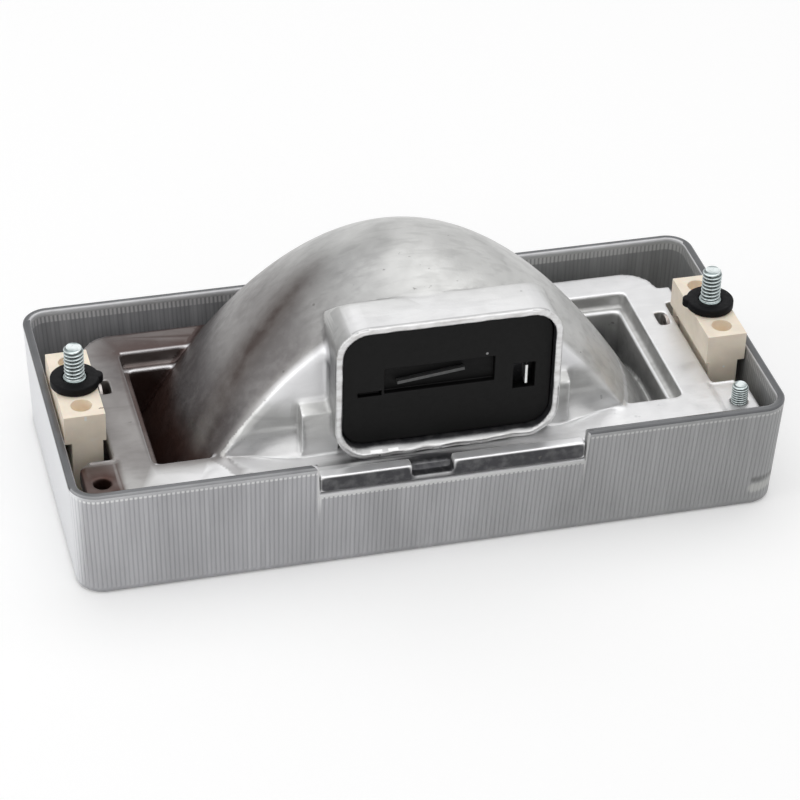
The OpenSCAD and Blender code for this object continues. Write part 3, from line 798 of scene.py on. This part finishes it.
class LAMP_OT_housing(bpy.types.Operator):
    """Builds the cast reflector housing with soft cast edges"""

    bl_idname = "lamp.housing"
    bl_label = "Reflector housing"

    most_faces = 92000
    ridge_turns, skin_turns = 14, 3

    def execute(self, context):
        casting = make_piece(
            "cast_housing", cad_copy("reflector_housing", 0), [], "lamp",
            ["reflector_housing"], 180
        )
        remesh = casting.modifiers.new("Cast form", "REMESH")
        remesh.mode = "VOXEL"
        remesh.voxel_size = context.scene.lamp_sizes.cast_grain * MM
        settle(casting)
        bm = bmesh.new()
        bm.from_mesh(casting.data)
        resize(bm, 1 / MM)
        for v in bm.verts:
            self.hand_finish(v.co)
        ridge = [v for v in bm.verts if self.ridge(v.co) > 0.05 or self.ridge_foot(v.co)]
        relax(bm, ridge, self.ridge_turns)
        relax(bm, bm.verts, self.skin_turns)
        resize(bm, MM)
        bm.to_mesh(casting.data)
        bm.free()
        thin = casting.modifiers.new("Fewer faces", "DECIMATE")
        thin.ratio = min(1.0, self.most_faces / len(casting.data.polygons))
        settle(casting)
        self.mark_finishes_and_painted_light(casting, tuple(context.scene.lamp_finishes.casting))
        return {"FINISHED"}

    def bowl_gap(self, at):
        """Distance in millimetres from the outside of the bowl, roughly."""
        return math.hypot(at.x, at.y - BOWL_Y) - math.sqrt(max(0.0, 4 * FOCUS * (CROWN_Z - at.z)))

    def wall_gap(self, at):
        """Distance in front of the near wall and of the fillet at its root."""
        rise = min(1.0, max(0.0, (at.z - 30.1) / 8))
        root = 8 * (1 - math.sqrt(1 - (1 - rise) ** 2)) * (1 - ease(38, 59, abs(at.x)))
        return at.y - NEAR_WALL_Y + root - (at.z - PLATE_Z) * WALL_LEAN

    def ridge(self, at):
        """One on the ridge where the near wall cuts the bowl, nought away from it."""
        if not 30.6 < at.z < 76 or abs(at.x) > 63:
            return 0.0
        off = math.hypot(self.bowl_gap(at) * 0.8, self.wall_gap(at))
        return max(0.0, 1 - off / 3.2)

    def ridge_foot(self, at):
        """True round the foot of the ridge on the plate."""
        return 53 < abs(at.x) < 64 and -42 < at.y < -30.8 and 29.7 < at.z < 35

    def hand_finish(self, at):
        """Runs out the fillet, steps the plate and the ears, and leaves the mouth of the bulb box uneven."""
        if -41 < at.y < NEAR_WALL_Y and 30.05 < at.z < 44 and 38 < abs(at.x) < 63:
            at.y = NEAR_WALL_Y + (at.y - NEAR_WALL_Y) * (1 - ease(38, 59, abs(at.x)))
        if 29.3 < at.z < 30.6 and -45.8 < at.y < -29:
            left = -61.4 + (at.y + 31.7) * 0.81
            right = 60.3 + (at.y + 29.5) * 0.47
            at.z += 0.4 * ease(left - 0.3, left + 0.3, at.x) * ease(right + 0.3, right - 0.3, at.x)
        if abs(at.x) > 90.4 and at.y < -24.6 and at.z > 28.5:
            at.z -= 0.55 * ease(90.5, 91.3, abs(at.x))
        if MOUTH_Y < at.y < -39.4 and self.in_box(at) and at.z > 30.8:
            share = ease(-39.4, -40.2, at.y)
            at.y += share * 0.45 * (noise.noise(Vector((at.x * 0.22, 3.1, at.z * 0.22))) + 0.25)
            if at.z < 34.2 and abs(at.x - BOX_X) < 30:
                at.z += share * (0.9 * noise.noise(Vector((at.x * 0.13, 7.7, 0.4))) - 0.1)
            droop = share * ease(38, 33, at.z) * (1 - 0.6 * ease(10, 30, at.x))
            at.y -= 0.6 * droop
            at.z -= 1.0 * droop

    def mark_finishes_and_painted_light(self, casting, colour):
        """Marks the casting's painted highlights, painted shade, painted dark reflection band and painted
        brown reflection and shade, and gives the trimmed rim and the mirror of the bowl their finishes.
        """
        mesh = casting.data
        marks = {"painted_highlight": [], "painted_reflection_band": [], "painted_brown": [], "shade": []}
        for v in mesh.vertices:
            at = v.co / MM
            outside = abs(self.bowl_gap(at)) < 1.8 and at.z > 9 and (at.z < 31 or self.wall_gap(at) > 1.5)
            # Painted highlight along the ridge where the near wall cuts the bowl; the marks below hold
            # painted highlight, painted reflection, painted brown reflection and shade, and painted shade
            bright = min(0.85, 1.3 * self.ridge(at)) * ease(42, 56, at.z) * ease(69, 63, at.z)
            grey = self.grey(at, v.normal, outside)
            marks["painted_highlight"].append(max(bright, self.ledge(at), self.pale(at, v.normal) * (1 - grey)))
            marks["painted_reflection_band"].append(self.band(at) if outside else 0.0)
            marks["painted_brown"].append(max(self.brown_reflection_share(at), 0.3 * self.flank(at) if outside else 0.0))
            marks["shade"].append(grey)
        for name, values in marks.items():
            mesh.attributes.new(name, "FLOAT", "POINT").data.foreach_set("value", values)
        for finish in (cast_metal(colour), trimmed_metal((0.76, 0.76, 0.76)), mirror_metal()):
            mesh.materials.append(finish.material)
        for face in mesh.polygons:
            at = face.center / MM
            if MOUTH_Y < at.y < -39.9 and face.normal.y < -0.75 and at.z > 31 and self.in_box(at):
                face.material_index = 1
            elif self.in_bowl(at):
                face.material_index = 2
        mesh.shade_smooth()

    def in_bowl(self, at):
        """True on the reflecting inside of the bowl."""
        if not 5.6 < at.z < 77.8:
            return False
        lean = (at.z - PLATE_Z) * WALL_LEAN
        reach = math.sqrt(4 * INNER_FOCUS * max(0.0, INNER_CROWN_Z - at.z)) + 1.0
        between = NEAR_WALL_Y + lean + 2 < at.y < FAR_WALL_Y - lean - 2
        return math.hypot(at.x, at.y - BOWL_Y) < reach and between

    def in_box(self, at):
        """True inside the outline of the bulb box, seen from the near side."""
        return BOX_LEFT < at.x < BOX_RIGHT and at.z < BOX_TOP

    def ledge(self, at):
        """Painted highlight along the edges of the ledges inside the windows."""
        inset = min(81 - at.x if at.x > 0 else 99, at.y + 29.5, 28.5 - at.y)
        if not 23 < at.z < 31 or inset < -1 or abs(at.x) < 40 or at.x < -80.3:
            return 0.0
        lip = max(0.0, 1 - math.hypot(inset - 2.5, at.z - 25) / 0.9)
        top = max(0.0, 1 - math.hypot(inset, at.z - PLATE_Z) / 0.8)
        return min(1.0, 1.6 * lip + 0.9 * top)

    def pale(self, at, normal):
        """Painted highlight on the top of the box, on the near wall under the ridge and low down, on the
        right of the plate, along the near strip and on the top of the lip.
        """
        if at.z > 71 and at.y < -24:
            return 0.5 * ease(-24, -29, at.y) * ease(0.7, 0.9, normal.z)
        if 44 < at.z < 74 and -33 < at.y < -27 and abs(self.wall_gap(at)) < 1.2:
            return 0.75 * ease(44, 50, at.z) * ease(68, 60, at.z)
        if 29 < at.z < 31 and normal.z > 0.5:
            return 0.6 * max(ease(36, 50, at.x), ease(-31, -35, at.y) * ease(-88, -74, at.x))
        if at.y < -45.6 and 31.6 < at.z < 34 and normal.z > 0.5:
            return 0.85
        if at.z < 42 and at.y < -31.5 and abs(at.x) < 60:
            return 0.35 * ease(41, 32, at.z)
        return 0.0

    def flank(self, at):
        """Share of the left flank of the bowl."""
        return ease(-16, -42, at.x)

    def band(self, at):
        """Painted reflection: a dark band that runs up the left flank of the bowl."""
        away = (at.y - 12.8 - STREAK_LEAN * at.x) / 7.5
        return math.exp(-away * away) * (ease(-18, -36, at.x) * ease(-68, -56, at.x))

    def grey(self, at, normal, outside):
        """Painted shade: inside the bulb box and along the top of its mouth, on its left side and the fillet
        beside it, on the left flank of the bowl, on the lip, on the strip under the box, on the left of the
        plate and down in the right window.
        """
        inward = normal.x * (BOX_X - at.x) + normal.z * (BOX_Z - at.z) > 0 or normal.y < -0.7
        inside = -40.6 < at.y < -22 and abs(at.x - BOX_X) < 32 and 32 < at.z < 73.4
        if inward and inside and not self.in_bowl(at):
            return 1.0 if at.y > -39.1 else ease(-0.8, -0.4, normal.y)
        if at.y < -39.1 and at.z > 73.6 and normal.z > 0.3:
            return 0.5
        if -33.5 < at.x < -30.5 and 58 < at.z < 76 and -40.4 < at.y < -25:
            return 0.45 * ease(58, 64, at.z)
        beside = -31 < at.x < -25 and 34 < at.z < 76 and -40.4 < at.y < -24
        if normal.x < -0.1 and beside and not self.in_bowl(at):
            low = 1 - 0.6 * ease(62, 70, at.z)
            return 0.85 * ease(38, 60, at.z) * ease(-0.1, -0.8, normal.x) * low
        if outside:
            away = at.y - 12.4 - STREAK_LEAN * at.x
            near = 0.68 * ease(2, -7, away) * ease(-32, -27, at.y - 0.06 * (at.z - PLATE_Z))
            far = 0.42 * ease(0, 7, away) + 0.2 * ease(52, 40, at.z)
            low = 0.3 * ease(50, 34, at.z)
            behind = 0.42 * ease(62, 70, at.z) * ease(8, -6, at.y) * ease(6, -20, at.x)
            return max(self.flank(at) * min(0.88, max(near, far) + low), behind)
        if at.y < -49.3 and at.z < 32.3:
            return 1.0
        if at.z < 31.4 and at.y < -38.5 and -32 < at.x < 38:
            under = ease(-38.5, -41, at.y) * ease(-32, -27, at.x)
            return under * ease(38, 10, at.x)
        if 29 < at.z < 31 and normal.z > 0.5 and at.x < -60:
            far = 0.6 * ease(-4, 20, at.y) * (0.25 + 0.75 * ease(-92, -80, at.x))
            return 0.2 + far + 0.2 * ease(-16, -24, at.y) - 0.4 * ease(-29, -36, at.y)
        if at.x > 40 and at.z < 26 and abs(normal.z) < 0.9:
            return 0.7 * ease(25, 20, at.z)
        return 0.0

    def brown_reflection_share(self, at):
        """Painted brown reflection and shade at the left end, deepest in the window and on the ear."""
        left = ease(-35, -62, at.x)
        deep = ease(35, 24, at.z) * ease(-38, -31, at.y)
        ear = ease(-90.7, -91.3, at.x) * ease(-26, -27, at.y)
        far = ease(18, 30, at.y) * ease(-30, -55, at.x) * ease(34, 31, at.z) * ease(-91, -79, at.x)
        return max(left * deep * 0.97, ear, 0.9 * far, 0.15 * ease(-55, -70, at.x))


class LAMP_OT_cover(bpy.types.Operator):
    """Builds the bulb cover, its seal and the contacts"""

    bl_idname = "lamp.cover"
    bl_label = "Bulb cover and contacts"

    def execute(self, context):
        finishes = context.scene.lamp_finishes
        black = moulded_plastic("cover_plastic", tuple(finishes.cover), 0.5, 0.03, 0.15)
        # Painted shade: the moulding darkens behind its front face, in its recesses
        depth = black.span(black.along("Y"), COVER_FRONT * MM + 0.0002, COVER_FRONT * MM + 0.0009)
        skin = black.mix(black.spot((16, COVER_FRONT, 60.2), 0.5), (0.006, 0.006, 0.006), (0.35, 0.35, 0.35))
        black.set(Base_Color=black.mix(depth, skin, (0.002, 0.002, 0.002)))
        softened("cover_moulding", "bulb_cover", black, "lamp", 0.3)
        rubber = moulded_plastic("seal_rubber", tuple(finishes.rubber), 0.7, 0.02, 0.3)
        softened("cover_gasket", "cover_seal", rubber, "lamp", 0.2)
        softened("lens_gasket", "lens_seal", rubber, "lamp", 0.2)
        dull = plated_metal("contact_dull", (0.075, 0.075, 0.075), 0.5, 0.1)
        dark = moulded_plastic("contact_oxide", (0.004, 0.004, 0.004), 0.6, 0.02, 0.1)
        tin = plated_metal("contact_tin", (0.72, 0.72, 0.7), 0.3)
        for name, metal in (("contact_strip", dull), ("earth_blade", dark), ("supply_blade", tin)):
            softened(name + "_metal", name, metal, "lamp", 0.12)
        return {"FINISHED"}


class LAMP_OT_bulb(bpy.types.Operator):
    """Builds the bulb with its base, clip and coiled filament, and the pivot pins"""

    bl_idname = "lamp.bulb"
    bl_label = "Bulb"

    def execute(self, context):
        nickel = plated_metal("nickel_plate", (0.5, 0.46, 0.44), 0.35, 0.25)
        spring = plated_metal("spring_wire", (0.5, 0.5, 0.5), 0.3)
        glass = clear_glass("bulb_glass", (0.96, 0.97, 0.98))
        softened("bulb_flange", "bulb_base", nickel, "lamp", 0.2)
        softened("clip_wire", "bulb_clip", spring, "lamp", 0.1)
        softened("pin_left", "pivot_pin_left", nickel, "lamp", 0.15)
        softened("pin_right", "pivot_pin_right", nickel, "lamp", 0.15)
        softened("bulb_envelope", "bulb_capsule", glass, "lamp", 0.1)
        self.filament(plated_metal("filament_wire", (0.4, 0.4, 0.42), 0.35))
        return {"FINISHED"}

    def filament(self, wire):
        """A coil of thin wire between two straight leads."""
        low, high = node_box("bulb_filament")
        middle = (low + high) / 2
        turns, steps, sides, coil, thick = 9, 10, 6, 0.6, 0.22
        reach = (high.y - low.y) / 2 - 2
        axis_z = high.z - 0.75
        path = [(0, low.y + 0.4, low.z), (0, low.y + 0.4, axis_z - 1), (0, low.y + 0.7, axis_z)]
        for i in range(turns * steps + 1):
            angle = 2 * math.pi * i / steps
            y = middle.y - reach + 2 * reach * i / (turns * steps)
            path.append((coil * math.sin(angle), y, axis_z - coil * math.cos(angle) * 0.9))
        path += [(0, high.y - 0.7, axis_z), (0, high.y - 0.4, axis_z - 1), (0, high.y - 0.4, low.z)]
        path = [Vector((middle.x + x, y, z)) for x, y, z in path]
        rings = []
        for i, at in enumerate(path):
            ahead = (path[min(i + 1, len(path) - 1)] - path[max(i - 1, 0)]).normalized()
            side = ahead.cross(Vector((1, 0.01, 0))).normalized()
            over = ahead.cross(side)
            turns_round = [2 * math.pi * k / sides for k in range(sides)]
            rings.append([at + thick * (side * math.cos(a) + over * math.sin(a)) for a in turns_round])
        bm = bmesh.new()
        made = swept_rings(bm, rings)
        close_ends(bm, made[0], made[-1])
        make_piece("filament_coil", bm, [wire], "lamp", ["bulb_filament"], 60)


class LAMP_OT_blocks(bpy.types.Operator):
    """Builds the two mounting blocks"""

    bl_idname = "lamp.blocks"
    bl_label = "Mounting blocks"

    def execute(self, context):
        cream = block_plastic(tuple(context.scene.lamp_finishes.blocks))
        radius = context.scene.lamp_sizes.block_radius
        for side in ("left", "right"):
            node, body = "block_" + side, "mount_" + side
            softened("mount_" + node, node, cream, body, radius, 3)
        return {"FINISHED"}


class LAMP_OT_studs(bpy.types.Operator):
    """Builds the threaded studs, the aim screw and the washers"""

    bl_idname = "lamp.studs"
    bl_label = "Studs, washers and aim screw"

    stud_r, stud_shoulder_r = 3.0, 3.4
    screw_r, screw_head_r, screw_head, screw_pitch = 2.5, 4.5, 3, 0.8

    def execute(self, context):
        finishes = context.scene.lamp_finishes
        zinc = zinc_plate(tuple(finishes.zinc))
        rubber = moulded_plastic("washer_rubber", tuple(finishes.rubber), 0.6, 0.04, 0.12)
        pitch = context.scene.lamp_sizes.thread_pitch
        for side in ("left", "right"):
            bm = bmesh.new()
            shoulder_z = node_box("washer_" + side)[1].z
            self.threaded_rod(bm, "stud_" + side, shoulder_z, self.stud_shoulder_r, self.stud_r, pitch)
            make_piece("thread_" + side, bm, [zinc], "mount_" + side, ["stud_" + side], 35)
            self.washer(side, rubber)
        bm = bmesh.new()
        head_z = node_box("aim_screw")[0].z + self.screw_head
        self.threaded_rod(bm, "aim_screw", head_z, self.screw_head_r, self.screw_r, self.screw_pitch)
        make_piece("aim_thread", bm, [zinc], "lamp", ["aim_screw"], 35)
        return {"FINISHED"}

    def threaded_rod(self, bm, node, shoulder_z, shoulder_r, radius, pitch):
        """A rod with a plain shoulder below and a helical thread above it."""
        low, high = node_box(node)
        middle = (low + high) / 2
        columns, rows_per_turn, depth, lead = 32, 8, 0.5 * pitch, 0.8
        rows = round((high.z - shoulder_z) / pitch * rows_per_turn)
        rings = [(shoulder_r - 0.3, low.z, 0), (shoulder_r, low.z + 0.3, 0)]
        rings += [(shoulder_r, shoulder_z - 0.15, 0), (shoulder_r - 0.15, shoulder_z, 0)]
        for i in range(rows + 1):
            z = shoulder_z + 0.05 + (high.z - shoulder_z - 0.05) * i / rows
            grip = min(1.0, (z - shoulder_z) / pitch, (high.z - z) / lead + 0.25)
            rings.append((radius - max(0.0, lead - (high.z - z)) * 0.9, z, grip))
        points = []
        depths = []
        for r, z, grip in rings:
            ring = []
            for j in range(columns):
                angle = 2 * math.pi * j / columns
                phase = (z / pitch - j / columns) % 1.0
                groove = grip * max(0.0, min(1.0, 1.5 * (1 - abs(2 * phase - 1)) - 0.25))
                at = r - depth * groove
                ring.append(Vector((middle.x + at * math.cos(angle), middle.y + at * math.sin(angle), z)))
                depths.append(groove)
            points.append(ring)
        layer = bm.verts.layers.float.new("thread")
        made = swept_rings(bm, points)
        for v, groove in zip((v for loop in made for v in loop), depths):
            v[layer] = groove
        close_ends(bm, made[0], made[-1])

    def washer(self, side, finish):
        """A thick rubber washer with a small tab."""
        low, high = node_box("washer_" + side)
        outer = (high.y - low.y) / 2
        middle = Vector((node_box("stud_" + side)[0].x + self.stud_shoulder_r, (low.y + high.y) / 2, 0))
        tab_at = math.radians(165 if side == "right" else 0)
        inner, thick, soft, columns = 3.6, high.z - low.z, 0.55, 72
        tab_reach, tab_half = 1.1, 0.22
        profile = [(inner, low.z), (inner + 0.3, low.z)]
        for turn in range(0, 181, 20):
            angle = math.radians(turn - 90)
            rise = soft if turn < 90 else thick - soft
            profile.append((outer - soft + soft * math.cos(angle), low.z + rise + soft * math.sin(angle)))
        profile += [(inner + 0.6, high.z), (inner + 0.2, high.z - 0.12), (inner, high.z - 0.4)]
        rings = []
        for r, z in profile:
            ring = []
            for j in range(columns):
                angle = 2 * math.pi * j / columns
                off = abs(math.remainder(angle - tab_at, 2 * math.pi))
                on_tab = r > outer - 1.2 and off < tab_half
                at = r + (tab_reach * max(0.0, 1 - (off / tab_half) ** 4) if on_tab else 0.0)
                ring.append(middle + Vector((at * math.cos(angle), at * math.sin(angle), z)))
            rings.append(ring)
        bm = bmesh.new()
        made = swept_rings(bm, rings)
        bmesh.ops.bridge_loops(bm, edges=loop_edges(made[-1]) + loop_edges(made[0]))
        bmesh.ops.recalc_face_normals(bm, faces=bm.faces)
        make_piece(
            "washer_ring_" + side, bm, [finish], "mount_" + side, ["washer_" + side], 60
        )


class LAMP_OT_stage(bpy.types.Operator):
    """Sets up the floor, the lights and the camera"""

    bl_idname = "lamp.stage"
    bl_label = "Studio"

    floor_glow = 0.27

    def execute(self, context):
        stage = context.scene.lamp_stage
        self.camera(context, stage)
        self.floor(context)
        self.world(context, stage)
        self.softbox(context, "Key light", (0.1, 0.2, 1.3), 1.8, stage.key)
        self.softbox(context, "Left light", (-1.1, -0.1, 0.5), 0.8, stage.fill * 1.5)
        self.softbox(context, "Front light", (0.1, -1.2, 0.8), 1.0, stage.fill)
        context.scene.view_settings.view_transform = "Standard"
        return {"FINISHED"}

    def camera(self, context, stage):
        """Camera at the photograph's place."""
        data = bpy.data.cameras.new("Camera")
        data.sensor_width = 36
        data.lens = stage.focal
        data.clip_start = 0.01
        camera = bpy.data.objects.new("Camera", data)
        context.scene.collection.objects.link(camera)
        azimuth, level = stage.azimuth, math.cos(stage.elevation)
        back = Vector((math.sin(azimuth) * level, -math.cos(azimuth) * level, math.sin(stage.elevation)))
        right = (-back).cross(Vector((0, 0, 1))).normalized()
        up = right.cross(-back)
        turn = Matrix((right, up, back)).transposed() @ Matrix.Rotation(stage.roll, 3, "Z")
        camera.matrix_world = Matrix.Translation(Vector(stage.aim) + back * stage.distance) @ turn.to_4x4()
        context.scene.camera = camera

    def floor(self, context):
        """Plain pale paper, seen from above and clear from below."""
        bm = bmesh.new()
        bmesh.ops.create_grid(bm, x_segments=1, y_segments=1, size=6)
        mesh = bpy.data.meshes.new("Floor")
        bm.to_mesh(mesh)
        bm.free()
        floor = bpy.data.objects.new("Floor", mesh)
        context.scene.collection.objects.link(floor)
        paper = Finish("floor_paper", (0.8, 0.8, 0.8), 0.0, 0.9)
        paper.set(Specular_IOR_Level=0.0, Emission_Color=(1, 1, 1))
        paper.set(Emission_Strength=paper.times(paper.seen(), self.floor_glow))
        mix = paper.add("ShaderNodeMixShader")
        paper.fill(mix.inputs[0], paper.add("ShaderNodeNewGeometry").outputs["Backfacing"])
        paper.fill(mix.inputs[1], paper.shader.outputs[0])
        paper.fill(mix.inputs[2], paper.add("ShaderNodeBsdfTransparent").outputs[0])
        paper.fill(paper.tree.nodes["Material Output"].inputs["Surface"], mix.outputs[0])
        mesh.materials.append(paper.material)

    def world(self, context, stage):
        """White surroundings for the eye, and a soft light on the lamp."""
        world = bpy.data.worlds.new("Studio")
        context.scene.world = world
        world.use_nodes = True
        nodes = Nodes(world.node_tree)
        background = nodes.tree.nodes["Background"]
        nodes.fill(background.inputs["Color"], (1, 1, 1))
        nodes.fill(background.inputs["Strength"], nodes.larger(nodes.seen(), stage.sky))

    def softbox(self, context, name, at, size, power):
        """A square light that faces the lamp."""
        data = bpy.data.lights.new(name, "AREA")
        data.shape = "SQUARE"
        data.size = size
        data.energy = power
        light = bpy.data.objects.new(name, data)
        context.scene.collection.objects.link(light)
        light.location = at
        light.rotation_mode = "QUATERNION"
        light.rotation_quaternion = (Vector(at) - Vector((0, 0, 0.03))).to_track_quat("Z", "Y")


class LAMP_PT_panel(bpy.types.Panel):
    """Lists the steps that build the driving light"""

    bl_label = "Driving light"
    bl_idname = "LAMP_PT_panel"
    bl_space_type = "VIEW_3D"
    bl_region_type = "UI"
    bl_category = "Driving light"

    def draw(self, context):
        layout = self.layout
        for step in STEPS:
            layout.operator(step.bl_idname)
        for group in (context.scene.lamp_finishes, context.scene.lamp_sizes, context.scene.lamp_stage):
            box = layout.box()
            for key in group.__annotations__:
                box.prop(group, key)


STEPS = (
    LAMP_OT_stage,
    LAMP_OT_glass_tray,
    LAMP_OT_housing,
    LAMP_OT_cover,
    LAMP_OT_bulb,
    LAMP_OT_blocks,
    LAMP_OT_studs,
)
CLASSES = (LampFinishes, LampSizes, LampStage, *STEPS, LAMP_PT_panel)


def register():
    for kind in CLASSES:
        bpy.utils.register_class(kind)
    bpy.types.Scene.lamp_finishes = PointerProperty(type=LampFinishes)
    bpy.types.Scene.lamp_sizes = PointerProperty(type=LampSizes)
    bpy.types.Scene.lamp_stage = PointerProperty(type=LampStage)


def unregister():
    del bpy.types.Scene.lamp_stage
    del bpy.types.Scene.lamp_sizes
    del bpy.types.Scene.lamp_finishes
    for kind in reversed(CLASSES):
        bpy.utils.unregister_class(kind)


def main():
    register()
    bpy.ops.lamp.stage()
    bpy.ops.lamp.glass_tray()
    bpy.ops.lamp.housing()
    bpy.ops.lamp.cover()
    bpy.ops.lamp.bulb()
    bpy.ops.lamp.blocks()
    bpy.ops.lamp.studs()


if __name__ == "__main__":
    main()
